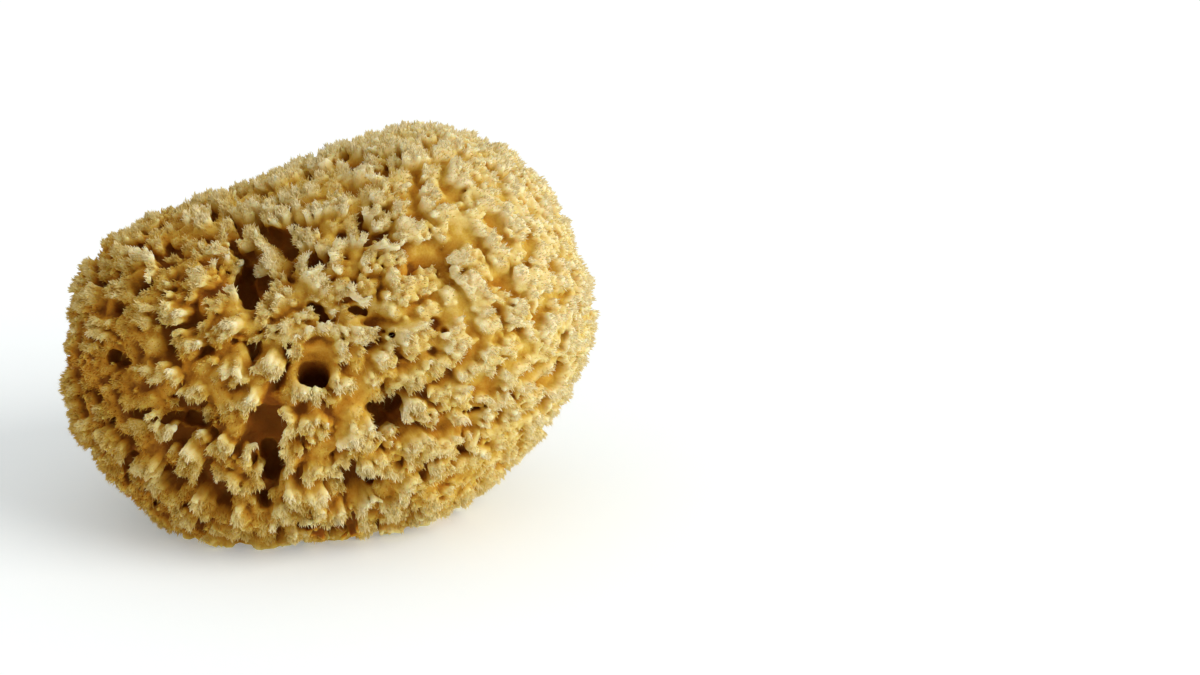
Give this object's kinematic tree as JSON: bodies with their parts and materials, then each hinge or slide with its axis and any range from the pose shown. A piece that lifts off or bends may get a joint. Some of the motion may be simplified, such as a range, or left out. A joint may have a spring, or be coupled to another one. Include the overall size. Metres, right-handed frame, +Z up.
{
  "type": "natural sea sponge",
  "caption": "Dry natural bath sponge: a lopsided rounded mass of soft tufts with deep gaps, a few round canals and a flat cut underside.",
  "frame": {"origin": "on the flat cut underside, at the middle of the whole sponge's box seen from above", "axes": "+Z up from the flat cut, +X along the sponge's length towards its taller end, -Y towards the face seen in the picture"},
  "size_m": [0.1568, 0.121, 0.114],
  "materials": {
    "sponge_fibre": "dry honey-coloured sponge fibre, pale cream at the frayed tips and amber brown in the gaps"
  },
  "bodies": {
    "root": {"sponge": "sponge_fibre"}
  },
  "joints": []
}
